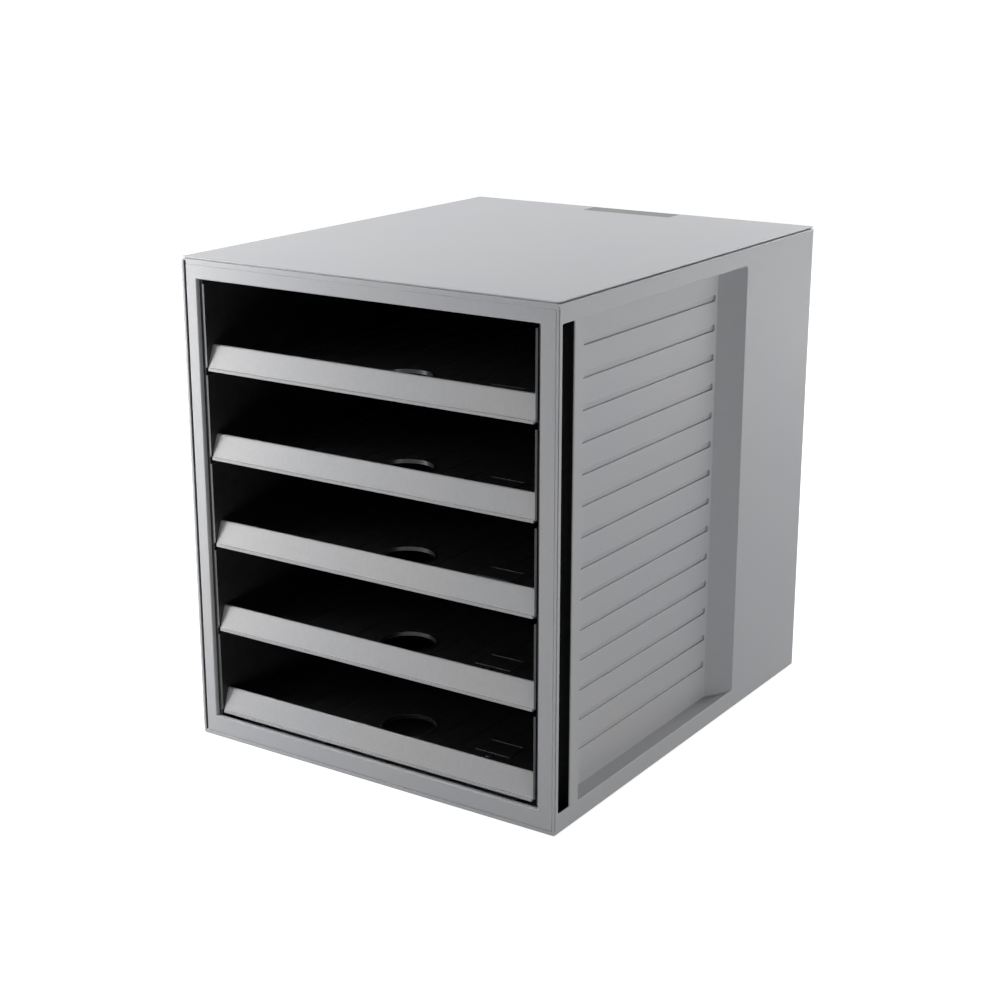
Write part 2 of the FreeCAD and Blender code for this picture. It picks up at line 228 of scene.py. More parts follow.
# Edge colour of the dark parts: partly wear, partly a painted highlight
edge_black_and_highlight = (0.13, 0.13, 0.132)
badge_dark = (0.08, 0.08, 0.084)
badge_light = (0.11, 0.11, 0.115)
rubber_dark = (0.014, 0.014, 0.014)
rubber_dusty = (0.03, 0.029, 0.028)
floor_white = (0.48, 0.48, 0.48)
backdrop_white = (1.0, 1.0, 1.0, 1.0)

# Surfaces
casing_roughness = 0.5
front_roughness = 0.48
satin_change = 0.05
speckle = 0.16
edge_samples = 4
# Shares of the edge colours: partly wear, partly a painted highlight
grey_wear_and_highlight = 0.75
black_wear_and_highlight = 0.9
badge_wear_and_highlight = 0.4

# Studio light
room_light = 0.04
floor_size = 30.0
floor_glow_near = 0.87
floor_glow_far = 1.0
glow_rise_start = 0.35
glow_rise_end = 1.3

# The photograph's camera, with angles in degrees
image_size = 1000
focal_pixels = 1862
sensor_width = 36.0
camera_place = Vector((660 * mm, -1011 * mm, 509 * mm))
camera_yaw = 33.53
camera_pitch = -16.84
level_tilt = 90
clip_start = 0.05


# Modelling by hand

def deselect():
    bpy.ops.object.select_all(action="DESELECT")


def hold(piece):
    # Makes a piece the only one that the next operators work on.
    deselect()
    piece.select_set(True)
    bpy.context.view_layer.objects.active = piece


def block(name, low, high):
    deselect()
    low = Vector(low)
    high = Vector(high)
    bpy.ops.mesh.primitive_cube_add(size=1, location=(low + high) / 2, scale=high - low)
    piece = bpy.context.object
    piece.name = name
    bpy.ops.object.transform_apply(location=True, rotation=True, scale=True)
    return piece


def side_block(name, side, x, y, z):
    # A block between two places in X, Y and Z; on side -1 its X places are mirrored.
    low_x, high_x = sorted((side * x[0], side * x[1]))
    return block(name, (low_x, y[0], z[0]), (high_x, y[1], z[1]))


def disc(name, middle, radius, height, sides):
    deselect()
    bpy.ops.mesh.primitive_cylinder_add(vertices=sides, radius=radius, depth=height, location=middle)
    piece = bpy.context.object
    piece.name = name
    bpy.ops.object.transform_apply(location=True, rotation=True, scale=True)
    return piece


def near(a, b):
    return abs(a - b) < same_place


def find_creases(mesh):
    # The edges whose two faces meet at an angle, so that lines across a flat face are left alone.
    sides = {}
    for face in mesh.polygons:
        for key in face.edge_keys:
            sides.setdefault(key, []).append(face.normal)
    return {key for key, pair in sides.items() if len(pair) == 2 and pair[0].dot(pair[1]) < flat_cosine}


def pick_edges(piece, test):
    # Leaves the piece in edit mode with the creases selected whose two ends pass the test.
    creases = find_creases(piece.data)
    hold(piece)
    bpy.ops.object.mode_set(mode="EDIT")
    bpy.ops.mesh.select_mode(type="EDGE")
    bpy.ops.mesh.select_all(action="DESELECT")
    bpy.ops.object.mode_set(mode="OBJECT")
    points = piece.data.vertices
    for edge in piece.data.edges:
        start = points[edge.vertices[0]].co
        end = points[edge.vertices[1]].co
        edge.select = edge.key in creases and test(start, end)
    bpy.ops.object.mode_set(mode="EDIT")


def edges_with(same="", **places):
    # A test for edges that stay at one place along the axes in same, and lie at the given places.
    def test(a, b):
        straight = all(near(getattr(a, axis), getattr(b, axis)) for axis in same)
        return straight and all(near(getattr(p, axis), places[axis]) for p in (a, b) for axis in places)

    return test


def round_edges(piece, radius, steps, test):
    pick_edges(piece, test)
    bpy.ops.mesh.bevel(offset=radius, segments=steps, affect="EDGES", clamp_overlap=False)
    bpy.ops.object.mode_set(mode="OBJECT")


def sink_faces(piece, margin, depth, test):
    # Sets a field into the faces whose middle passes the test.
    hold(piece)
    bpy.ops.object.mode_set(mode="EDIT")
    bpy.ops.mesh.select_mode(type="FACE")
    bpy.ops.mesh.select_all(action="DESELECT")
    bpy.ops.object.mode_set(mode="OBJECT")
    for face in piece.data.polygons:
        face.select = test(face.center)
    bpy.ops.object.mode_set(mode="EDIT")
    bpy.ops.mesh.inset(thickness=margin, depth=-depth)
    bpy.ops.object.mode_set(mode="OBJECT")


def slide_points(piece, move, test):
    # Moves the points that pass the test.
    hold(piece)
    bpy.ops.object.mode_set(mode="EDIT")
    bpy.ops.mesh.select_mode(type="VERT")
    bpy.ops.mesh.select_all(action="DESELECT")
    bpy.ops.object.mode_set(mode="OBJECT")
    for point in piece.data.vertices:
        point.select = test(point.co)
    bpy.ops.object.mode_set(mode="EDIT")
    bpy.ops.transform.translate(value=move)
    bpy.ops.object.mode_set(mode="OBJECT")


def apply_modifier(piece, modifier):
    hold(piece)
    bpy.ops.object.modifier_apply(modifier=modifier.name)


def combine(piece, other, operation):
    step = piece.modifiers.new("combine", "BOOLEAN")
    step.operation = operation
    step.solver = "EXACT"
    step.object = other
    apply_modifier(piece, step)
    bpy.data.objects.remove(other)


def cut(piece, *cutters):
    for cutter in cutters:
        combine(piece, cutter, "DIFFERENCE")


def join_on(piece, *others):
    for other in others:
        combine(piece, other, "UNION")


def repeat(piece, count, step):
    rows = piece.modifiers.new("repeat", "ARRAY")
    rows.count = count
    rows.use_relative_offset = False
    rows.use_constant_offset = True
    rows.constant_offset_displace = step
    apply_modifier(piece, rows)
    return piece


def soften(piece, width):
    # Rounds what is still sharp, then gives the flats clean shading.
    edges = piece.modifiers.new("soften", "BEVEL")
    edges.width = width
    edges.segments = fine_steps
    edges.limit_method = "ANGLE"
    edges.angle_limit = math.radians(sharp_angle)
    edges.use_clamp_overlap = False
    apply_modifier(piece, edges)
    bpy.ops.object.shade_smooth_by_angle(angle=math.radians(smooth_angle))
    flats = piece.modifiers.new("flats", "WEIGHTED_NORMAL")
    flats.keep_sharp = True
    apply_modifier(piece, flats)


def moved_copy(piece, name, move):
    # A copy with a mesh of its own, in its new place.
    copy = piece.copy()
    copy.data = piece.data.copy()
    copy.data.transform(Matrix.Translation(move))
    copy.name = name
    bpy.context.scene.collection.objects.link(copy)
    return copy


def dress(piece, body, slot, materials, *nodes):
    # Material, body and the CAD nodes that the piece stands for.
    piece.data.materials.clear()
    piece.data.materials.append(materials[slot])
    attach(piece, body)
    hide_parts(*nodes)


# Side panels

def recess_block(side, grow):
    # The recess, or with one wall more, the pan that it is hollowed from.
    floor_x = half_width - recess_depth - grow
    start = front_y + slot_start + slot_width + middle_band - grow
    lean = recess_slant / recess_depth
    outer_x = half_width + overrun
    if grow:
        outer_x = half_width - wall / 2
    back = rear_y - rear_band + grow * math.hypot(1, lean) + lean * (outer_x - half_width)
    pan = side_block("recess", side, (floor_x, outer_x), (start, back),
                     (band - grow, casing_high.z - band + grow))
    slide_points(pan, (0, -lean * (outer_x - floor_x), 0),
                 lambda p: near(p.x * side, floor_x) and near(p.y, back))
    if not grow:
        round_edges(pan, recess_corner, round_steps,
                    lambda a, b: near(a.z, b.z) and min(a.y, b.y) > start + pick_margin)
        round_edges(pan, slot_corner, fine_steps, edges_with(same="z", y=start))
    return pan


def slot_relief_block(side):
    # What thins the wall round the finger slot from behind.
    start = front_y + slot_start
    return side_block("relief", side, (half_width - wall - overrun, half_width - slot_edge),
                      (start - slot_edge, start + slot_width + slot_relief),
                      (band - slot_relief, casing_high.z - band + slot_relief))


def recess_grooves(side):
    floor_x = half_width - recess_depth
    start = front_y + slot_start + slot_width + middle_band
    end = rear_y - rear_band - recess_slant - groove_end_gap
    low = band + groove_first
    groove = side_block("groove", side, (floor_x - groove_depth, floor_x + groove_depth), (start, end),
                        (low, low + groove_height))
    round_edges(groove, groove_corner, fine_steps, edges_with(same="z", y=end))
    return repeat(groove, groove_count, (0, 0, groove_pitch))


def finger_slot(side):
    start = front_y + slot_start
    slot = side_block("slot", side, (half_width - wall - overrun, half_width + overrun),
                      (start, start + slot_width), (band, casing_high.z - band))
    round_edges(slot, slot_corner, fine_steps, edges_with(same="yz"))
    return slot


def side_panel(side):
    # Only the right one makes room for the end of the top's lip.
    node = "right_side_panel" if side > 0 else "left_side_panel"
    low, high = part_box(node)
    bottom = low.z
    top = high.z
    outer_x = side * half_width
    panel = side_block(node + "_shell", side, (half_width - wall, half_width), (low.y, high.y),
                       (bottom, top))
    round_edges(panel, top_edge_round, round_steps, edges_with(x=outer_x, z=top))
    round_edges(panel, rear_edge_round, wide_steps, edges_with(x=outer_x, y=high.y))
    cut(panel, slot_relief_block(side))
    join_on(panel, recess_block(side, wall))
    rim_inner = half_width - rim_wall
    seam = front_y + rim_setback + rim_land
    slot_y = front_y + slot_start
    cut(panel,
        side_block("rim_step", side, (half_width - wall - overrun, rim_inner),
                   (front_y - overrun, front_y + rim_depth), (bottom - overrun, top + overrun)),
        side_block("foot_step", side, (half_width - wall - overrun, half_width + overrun),
                   (front_y - overrun, seam + seam_width), (bottom - overrun, base_lip_top)),
        side_block("seam", side, (half_width - seam_depth, half_width + overrun),
                   (seam, seam + seam_width), (bottom - overrun, top + overrun)),
        finger_slot(side),
        recess_block(side, 0),
        recess_grooves(side))
    if side > 0:
        cut(panel, side_block("lip_step", side, (half_width - wall - overrun, half_width + overrun),
                              (front_y - overrun, seam + seam_width), (lip_under(), top + overrun)))
    band_top = casing_high.z - band

    def on_mouth(a, b):
        inside = all(band - pick_margin < p.z < band_top + pick_margin
                     and slot_y - pick_margin < p.y < rear_y - rear_band + pick_margin for p in (a, b))
        return inside and near(a.x, outer_x) and near(b.x, outer_x)

    round_edges(panel, mouth_round, fine_steps, on_mouth)
    soften(panel, panel_break)
    return panel


# Front frame

def frame_tabs(plate, low, high):
    # Four tongues behind the frame, under the top panel and over the base panel.
    back = front_y + frame_thick
    root = back - tab_wall / 2
    top_under = casing_high.z - top_thick
    for x in (-tab_spread / 2, tab_spread / 2):
        left = x - tab_width / 2
        right = x + tab_width / 2
        join_on(plate,
                block("tab", (left, root, top_under - tab_wall),
                      (right, back + tab_length, top_under)),
                block("tab_root", (left, root, high - tab_wall), (right, back, top_under)),
                block("tab", (left, root, base_lip_top),
                      (right, back + tab_length, base_lip_top + tab_wall)),
                block("tab_root", (left, root, base_lip_top), (right, back, low + tab_wall)))


def front_frame():
    box_low, box_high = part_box("front_frame")
    low = base_lip_top + frame_joint
    high = lip_under() - frame_top_joint
    back = front_y + frame_thick
    plate = block("front_frame_shell", (box_low.x, front_y, low), (box_high.x, back, high))
    round_edges(plate, frame_corner, fine_steps, edges_with(same="xz"))
    cut(plate, block("window", (-window_half, front_y - overrun, window_low),
                     (window_half, back + overrun, window_high)))
    in_front = edges_with(y=front_y)

    def at_window(p):
        return (abs(p.x) < window_half + pick_margin
                and window_low - pick_margin < p.z < window_high + pick_margin)

    round_edges(plate, window_round, round_steps,
                lambda a, b: in_front(a, b) and at_window(a) and at_window(b))
    round_edges(plate, frame_edge_round, fine_steps,
                lambda a, b: in_front(a, b) and not at_window(a) and not at_window(b))
    frame_tabs(plate, low, high)
    soften(plate, frame_break)
    return plate


# Top, base and rear panels

def ribs(low, high):
    # A grid of lengthwise and cross ribs between two heights.
    start = front_y + rib_margin
    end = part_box("rear_panel")[0].y - rib_margin
    lengthwise = block("ribs", (-rib_half - rib_width / 2, start, low),
                       (-rib_half + rib_width / 2, end, high))
    repeat(lengthwise, length_ribs, (2 * rib_half / (length_ribs - 1), 0, 0))
    across = block("cross_ribs", (-rib_half, start, low), (rib_half, start + rib_width, high))
    repeat(across, cross_ribs, (0, (end - start - rib_width) / (cross_ribs - 1), 0))
    return lengthwise, across


def badge_block(name, grow, low, high):
    # The bare plate, or with a gap round it, the pocket that it lies in.
    box_low, box_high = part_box("top_badge")
    back = box_high.y
    if grow:
        back = box_high.y + overrun
    plate = block(name, (box_low.x - grow, box_low.y - grow, low), (box_high.x + grow, back, high))
    round_edges(plate, badge_corner, wide_steps,
                lambda a, b: near(a.x, b.x) and near(a.y, b.y) and a.y < box_low.y + pick_margin)
    return plate


def lip_under():
    # Height of the underside of the top's lip.
    return casing_high.z - top_flange - top_front_seam - top_lip_height


def top_lip():
    # The strip over the front frame, from the open joint beside the frame to the right side. A smaller
    # one closes the top of that joint.
    front = front_y + rim_setback
    back = front + rim_land + seam_width
    high = lip_under() + top_lip_height
    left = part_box("front_frame")[0].x
    lip = block("lip", (left, front, lip_under()), (half_width - lip_inset, back, high))
    round_edges(lip, top_lip_round, fine_steps, edges_with(y=front, z=high))
    joint_cover = block("joint_cover",
                        (-half_width + rim_wall, front + top_lip_round, casing_high.z - top_thick),
                        (left + overlap, back, high))
    join_on(lip, joint_cover)
    return lip


def top_flange_plate(back):
    # The thin plate that the top ends in all round, over an open seam.
    half = half_width - top_inset
    front = front_y + top_inset
    high = casing_high.z
    flange = block("flange", (-half, front, high - top_flange), (half, back, high))
    round_edges(flange, top_corner, corner_steps, edges_with(same="x", y=front))
    round_edges(flange, top_round, round_steps, edges_with(z=high))
    return flange


def top_panel():
    high = casing_high.z
    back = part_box("top_panel")[1].y
    inner = half_width - wall
    panel = block("top_panel_shell", (-inner, front_y + top_seam_depth, high - top_thick),
                  (inner, back, high - top_flange + overlap))
    under = high - top_thick
    join_on(panel, top_flange_plate(back), top_lip(), *ribs(under - rib_height, under + overlap))
    cut(panel, badge_block("pocket", badge_gap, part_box("top_badge")[0].z, high + overrun))
    soften(panel, frame_break)
    return panel


def badge_plate():
    low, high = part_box("top_badge")
    plate = badge_block("badge_plate", 0, low.z, high.z)
    soften(plate, badge_edge)
    return plate


def base_panel():
    low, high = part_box("base_panel")
    top = low.z + base_thick
    inner = half_width - wall
    lip_half = half_width - lip_inset
    seam_back = front_y + rim_setback + rim_land + seam_width
    panel = block("base_panel_shell", (-inner, seam_back - overlap, low.z), (inner, high.y, top))
    join_on(panel,
            block("lip", (-lip_half, low.y, low.z), (lip_half, seam_back, top)),
            *ribs(top - overlap, high.z))
    for node in feet:
        foot_low, foot_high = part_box(node)
        radius = (foot_high.x - foot_low.x) / 2 + foot_gap
        middle = (foot_low + foot_high) / 2
        cut(panel, disc("foot_pocket", middle, radius, foot_high.z - foot_low.z, foot_sides))
    soften(panel, frame_break)
    return panel


def foot_pad():
    low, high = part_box(feet[0])
    pad = disc("foot_pad_1", (low + high) / 2, (high.x - low.x) / 2, high.z - low.z, foot_sides)
    round_edges(pad, foot_bevel, round_steps, edges_with(z=low.z))
    sink_faces(pad, sole_rim, sole_dish, lambda p: near(p.z, low.z))
    soften(pad, foot_break)
    return pad


def rear_panel():
    low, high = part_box("rear_panel")
    panel = block("rear_panel_shell", low, high)
    field = block("field", (low.x + field_margin, high.y - field_depth, low.z + field_margin),
                  (high.x - field_margin, high.y + overrun, high.z - field_margin))
    round_edges(field, field_corner, field_steps, edges_with(same="xz"))
    cut(panel, field)
    soften(panel, rear_break)
    return panel


# Trays

def hole_bead(middle):
    # A rounded bead round the finger hole.
    lift = Vector((0, 0, floor_top + bead_height / 2 - bead_root / 2))
    bead = disc("bead", middle + lift, hole_radius + bead_width, bead_height + bead_root, hole_sides)
    top = middle.z + floor_top + bead_height
    round_edges(bead, bead_round, round_steps, edges_with(z=top))
    return bead


def lip_back(height):
    # How far the lip's rear face lies behind the tray's front, at a height over the tray's underside.
    return lip_setback + lip_lean * (height - skid_height) / (lip_top - skid_height) + lip_wall


def front_seats(low, high):
    # Room in the tray body for its front's strip and for the foot of the lip.
    tray_front_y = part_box("tray_front_1")[0].y
    corner_top = floor_top + inner_corner
    strip = block("strip_seat", (low.x - overrun, low.y - overrun, low.z - overrun),
                  (high.x + overrun, tray_front_y + strip_depth, low.z + skid_height))
    lip_end = tray_front_y + lip_back(corner_top) + lip_seat_gap
    lip = block("lip_seat", (low.x + tray_wall, low.y - overrun, low.z - overrun),
                (high.x - tray_wall, lip_end, low.z + corner_top))
    return strip, lip


def tray_body(low, high):
    body = block("tray_shell", low, high)
    left = low.x + tray_wall
    right = high.x - tray_wall
    front = low.y
    bottom = low.z
    floor = bottom + floor_top
    round_edges(body, tray_corner, round_steps, edges_with(same="x", z=bottom))
    room = block("room", (left, front - overrun, floor), (right, high.y - tray_wall, high.z + overrun))
    round_edges(room, inner_corner, fine_steps, edges_with(same="x", z=floor))
    under = block("under", (low.x + skid_width, front - overrun, bottom - overrun),
                  (high.x - skid_width, high.y + overrun, bottom + skid_height))
    cut(body, room, under, *front_seats(low, high))
    lines_start = front_y + floor_line_start
    first = floor_line_shift - (floor_line_count // 2) * floor_line_pitch
    line = block("line", (first - floor_line_width / 2, lines_start, floor - floor_line_depth),
                 (first + floor_line_width / 2, high.y - tray_wall, floor + overrun))
    cut(body, repeat(line, floor_line_count, (floor_line_pitch, 0, 0)))
    hole_middle = Vector((0, front_y + hole_from_front, bottom))
    join_on(body, hole_bead(hole_middle))
    cut(body, disc("finger_hole", hole_middle, hole_radius, cut_height, hole_sides))
    return body


def bare_plate(low):
    # Raised bare rectangle with a thin border, on the tray floor.
    middle = Vector((plate_middle.x, front_y + plate_middle.y))
    half = plate_size / 2
    top = low.z + floor_top + plate_height
    plate = block("plate", (middle.x - half.x, middle.y - half.y, low.z + floor_top - plate_height),
                  (middle.x + half.x, middle.y + half.y, top))
    cut(plate, block("field", (middle.x - half.x + plate_border, middle.y - half.y + plate_border,
                               top - plate_height / 2),
                     (middle.x + half.x - plate_border, middle.y + half.y - plate_border, top + overrun)))
    return plate


def floor_pip(low):
    # A small dome on the tray floor.
    base = low.z + floor_top
    middle = (plate_middle.x, front_y + pip_from_front, base)
    pip = disc("pip", middle, pip_radius, 2 * pip_height, pip_sides)
    top = base + pip_height
    round_edges(pip, pip_round, round_steps, edges_with(z=top))
    return pip


def tray():
    low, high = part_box("tray_1")
    front_low, front_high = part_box("tray_front_1")
    body_top = low.z + front_high.z - front_low.z
    body = tray_body(low, Vector((high.x, high.y, body_top)))
    join_on(body, bare_plate(low), floor_pip(low))
    for side in (-1, 1):
        join_on(body, side_block("stop_tab", side, (high.x - tray_wall, high.x),
                                 (high.y - stop_tab_length, high.y), (body_top - tray_wall, high.z)))
    soften(body, panel_break)
    return body


# Tray fronts

def tray_front():
    low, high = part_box("tray_front_1")
    bottom = low.z
    limb_back = low.y + limb_depth
    inner = high.x - tray_wall
    edge = block("tray_front_shell", low, (high.x, limb_back, high.z))
    round_edges(edge, tray_corner, round_steps, edges_with(same="x", z=bottom))
    gap = block("gap", (-inner, low.y - overrun, bottom + skid_height),
                (inner, limb_back + overrun, high.z + overrun))
    cut(edge, gap)
    round_edges(edge, front_top_round, fine_steps, edges_with(same="x", z=high.z))
    in_front = edges_with(y=low.y)

    def at_side(a, b):
        return near(abs(a.x), high.x) and near(abs(b.x), high.x)

    round_edges(edge, limb_round, round_steps, lambda a, b: in_front(a, b) and at_side(a, b))
    round_edges(edge, front_edge_round, fine_steps, lambda a, b: in_front(a, b) and not at_side(a, b))
    strip = block("strip", (low.x + tray_corner, limb_back - overlap, bottom),
                  (high.x - tray_corner, low.y + strip_depth, bottom + skid_height))
    foot = low.y + lip_setback
    top = bottom + lip_top
    lip = block("lip", (-inner + lip_gap, foot, bottom + skid_height - lip_root),
                (inner - lip_gap, foot + lip_wall, top))
    slide_points(lip, (0, lip_lean, 0), lambda p: near(p.z, top))
    round_edges(lip, lip_round, round_steps, edges_with(same="y", z=top))
    join_on(edge, strip, lip)
    soften(edge, frame_break)
    return edge


# Materials

# Places of a Mix node's colour sockets
colour_a = 6
colour_b = 7
mixed_colour = 2


def start_material(name, roughness):
    # A material with its shader, and the place on the piece that its patterns read.
    material = bpy.data.materials.new(name)
    material.use_nodes = True
    tree = material.node_tree
    shader = tree.nodes["Principled BSDF"]
    shader.inputs["Roughness"].default_value = roughness
    place = tree.nodes.new("ShaderNodeTexCoord")
    return material, tree, shader, place.outputs["Object"]


def noise(tree, place, size, detail):
    # Cloudy noise whose spots are about one size across.
    cloud = tree.nodes.new("ShaderNodeTexNoise")
    cloud.inputs["Scale"].default_value = 1 / size
    cloud.inputs["Detail"].default_value = detail
    tree.links.new(place, cloud.inputs["Vector"])
    return cloud.outputs["Fac"]


def stretched(tree, place, shares):
    # The same place drawn out by a share along each axis, for streaks.
    mapping = tree.nodes.new("ShaderNodeMapping")
    mapping.inputs["Scale"].default_value = shares
    tree.links.new(place, mapping.inputs["Vector"])
    return mapping.outputs["Vector"]


def spread(tree, source, start=0.0, end=1.0, low=0.0, high=1.0):
    # Values from start to end become low to high.
    node = tree.nodes.new("ShaderNodeMapRange")
    node.inputs["From Min"].default_value = start
    node.inputs["From Max"].default_value = end
    node.inputs["To Min"].default_value = low
    node.inputs["To Max"].default_value = high
    tree.links.new(source, node.inputs["Value"])
    return node.outputs["Result"]


def multiply(tree, first, second):
    node = tree.nodes.new("ShaderNodeMath")
    node.operation = "MULTIPLY"
    tree.links.new(first, node.inputs[0])
    tree.links.new(second, node.inputs[1])
    return node.outputs[0]


def blend_colours(tree, share, first, second):
    # Each of the two is a colour or the output of another blend.
    mix = tree.nodes.new("ShaderNodeMix")
    mix.data_type = "RGBA"
    tree.links.new(share, mix.inputs["Factor"])
    for socket, colour in ((mix.inputs[colour_a], first), (mix.inputs[colour_b], second)):
        if isinstance(colour, tuple):
            socket.default_value = colour + (1.0,)
        else:
            tree.links.new(colour, socket)
    return mix.outputs[mixed_colour]


def rubbed_and_highlit_edges(tree, place, radius, patch):
    # Near one along edges, in broken patches: partly wear where hands and papers rub, partly a painted
    # highlight on the rounds. Edges are where the rounded surface turns away from the flat of the face.
    rounded = tree.nodes.new("ShaderNodeBevel")
    rounded.samples = edge_samples
    rounded.inputs["Radius"].default_value = radius
    face = tree.nodes.new("ShaderNodeNewGeometry")
    turn = tree.nodes.new("ShaderNodeVectorMath")
    turn.operation = "DOT_PRODUCT"
    tree.links.new(rounded.outputs["Normal"], turn.inputs[0])
    tree.links.new(face.outputs["True Normal"], turn.inputs[1])
    edge = spread(tree, turn.outputs["Value"], start=0.99, end=0.86)
    broken = noise(tree, place, size=patch, detail=4.0)
    patches = spread(tree, broken, start=0.42, end=0.62, low=0.6, high=1.0)
    return multiply(tree, edge, patches)


def add_bumps(tree, shader, *layers):
    # Each layer is a height, how deep it is, and how strongly it shows.
    below = None
    for height, depth, strength in layers:
        bump = tree.nodes.new("ShaderNodeBump")
        bump.inputs["Distance"].default_value = depth
        bump.inputs["Strength"].default_value = strength
        tree.links.new(height, bump.inputs["Height"])
        if below:
            tree.links.new(below, bump.inputs["Normal"])
        below = bump.outputs["Normal"]
    tree.links.new(below, shader.inputs["Normal"])


def moulded_plastic(name, cool, warm, roughness):
    # Satin moulded plastic: soft flow patches, a fine grain, slightly sunk flats, and edges lightened by
    # wear and by a painted highlight.
    material, tree, shader, place = start_material(name, roughness)
    flow = noise(tree, place, size=90 * mm, detail=3.0)
    mottle = noise(tree, place, size=3 * mm, detail=3.0)
    grain = noise(tree, place, size=0.35 * mm, detail=2.0)
    sink = noise(tree, place, size=45 * mm, detail=1.0)
    # Lighter edges: partly wear, partly a painted highlight on the rounds
    worn_and_highlit = rubbed_and_highlit_edges(tree, place, radius=0.7 * mm, patch=12 * mm)
    flow_share = spread(tree, flow, start=0.3, end=0.7)
    base = blend_colours(tree, flow_share, cool, warm)
    speck_share = spread(tree, mottle, start=0.35, end=0.75, high=speckle)
    specks = blend_colours(tree, speck_share, base, worn_grey)
    wear_and_highlight_share = spread(tree, worn_and_highlit, high=grey_wear_and_highlight)
    rubbed_and_highlit = blend_colours(tree, wear_and_highlight_share, specks, edge_grey_and_highlight)
    tree.links.new(rubbed_and_highlit, shader.inputs["Base Color"])
    satin = spread(tree, mottle, start=0.3, end=0.7, low=roughness - satin_change,
                   high=roughness + satin_change)
    tree.links.new(satin, shader.inputs["Roughness"])
    add_bumps(tree, shader, (sink, 0.3 * mm, 0.12), (grain, 0.03 * mm, 0.35))
    return material


def tray_plastic():
    # Near-black, as painted shade for the dark inside of the drawers and behind the finger slots, with
    # fine lengthwise scuffs from papers, and dust in its grain.
    material, tree, shader, place = start_material("tray_black_painted_shade", roughness=0.36)
    dust = noise(tree, place, size=6 * mm, detail=4.0)
    along = stretched(tree, place, shares=(1.0, 0.04, 1.0))
    scuffs = noise(tree, along, size=0.8 * mm, detail=3.0)
    grain = noise(tree, place, size=0.4 * mm, detail=2.0)
    # Lighter edges: partly wear, partly a painted highlight on the rounds and the plate's border
    worn_and_highlit = rubbed_and_highlit_edges(tree, place, radius=0.5 * mm, patch=9 * mm)
    dust_share = spread(tree, dust, start=0.4, end=0.7)
    base = blend_colours(tree, dust_share, black_deep, black_dusty)
    wear_and_highlight_share = spread(tree, worn_and_highlit, high=black_wear_and_highlight)
    rubbed_and_highlit = blend_colours(tree, wear_and_highlight_share, base, edge_black_and_highlight)
    tree.links.new(rubbed_and_highlit, shader.inputs["Base Color"])
    satin = spread(tree, scuffs, start=0.35, end=0.65, low=0.33, high=0.39)
    tree.links.new(satin, shader.inputs["Roughness"])
    add_bumps(tree, shader, (scuffs, 0.004 * mm, 0.08), (grain, 0.02 * mm, 0.2))
    return material


def badge_plastic():
    # Dark smooth plate with a faint brushed line along its length.
    material, tree, shader, place = start_material("badge_plastic", roughness=0.35)
    along = stretched(tree, place, shares=(0.03, 1.0, 1.0))
    brush = noise(tree, along, size=0.4 * mm, detail=3.0)
    cloud = noise(tree, place, size=12 * mm, detail=3.0)
    cloud_share = spread(tree, cloud, start=0.3, end=0.7)
    base = blend_colours(tree, cloud_share, badge_dark, badge_light)
    # Lighter edges: partly wear, partly a painted highlight
    worn_and_highlit = rubbed_and_highlit_edges(tree, place, radius=0.3 * mm, patch=8 * mm)
    wear_and_highlight_share = spread(tree, worn_and_highlit, high=badge_wear_and_highlight)
    rubbed_and_highlit = blend_colours(tree, wear_and_highlight_share, base, edge_black_and_highlight)
    tree.links.new(rubbed_and_highlit, shader.inputs["Base Color"])
    satin = spread(tree, brush, start=0.3, end=0.7, low=0.3, high=0.42)
    tree.links.new(satin, shader.inputs["Roughness"])
    add_bumps(tree, shader, (brush, 0.02 * mm, 0.25))
    return material


def foot_rubber():
    # Dull rubber with dust pressed into its pores.
    material, tree, shader, place = start_material("foot_rubber", roughness=0.85)
    pores = noise(tree, place, size=0.5 * mm, detail=4.0)
    dust = noise(tree, place, size=3 * mm, detail=4.0)
    dust_share = spread(tree, dust, start=0.35, end=0.7)
    base = blend_colours(tree, dust_share, rubber_dark, rubber_dusty)
    tree.links.new(base, shader.inputs["Base Color"])
    dull = spread(tree, dust, start=0.3, end=0.7, low=0.75, high=0.92)
    tree.links.new(dull, shader.inputs["Roughness"])
    add_bumps(tree, shader, (pores, 0.08 * mm, 0.5))
    return material


def make_materials():
    return {
        "casing_grey": moulded_plastic("casing_plastic", casing_cool, casing_warm, casing_roughness),
        "tray_front_grey": moulded_plastic("front_plastic", front_cool, front_warm, front_roughness),
        "inner_black": tray_plastic(),
        "badge_grey": badge_plastic(),
        "foot_rubber": foot_rubber(),
    }


def finish_nodes(materials):
    # Every CAD node gets the material of its slot in the record.
    for part in frame["record"]["subparts"]:
        node = frame["nodes"][part["node"]]
        node.data.materials.clear()
        node.data.materials.append(materials[part["material_slot"]])


def make_casing(materials):
    panels = {
        "right_side_panel": side_panel(1),
        "left_side_panel": side_panel(-1),
        "front_frame": front_frame(),
        "top_panel": top_panel(),
        "base_panel": base_panel(),
        "rear_panel": rear_panel(),
    }
    for node, panel in panels.items():
        dress(panel, "casing", "casing_grey", materials, node)
    dress(badge_plate(), "casing", "badge_grey", materials, "top_badge")


def make_feet(materials):
    first = foot_pad()
    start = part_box(feet[0])[0]
    for number, node in enumerate(feet, 1):
        pad = first
        if number > 1:
            pad = moved_copy(first, "foot_pad_" + str(number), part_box(node)[0] - start)
        dress(pad, "casing", "foot_rubber", materials, node)


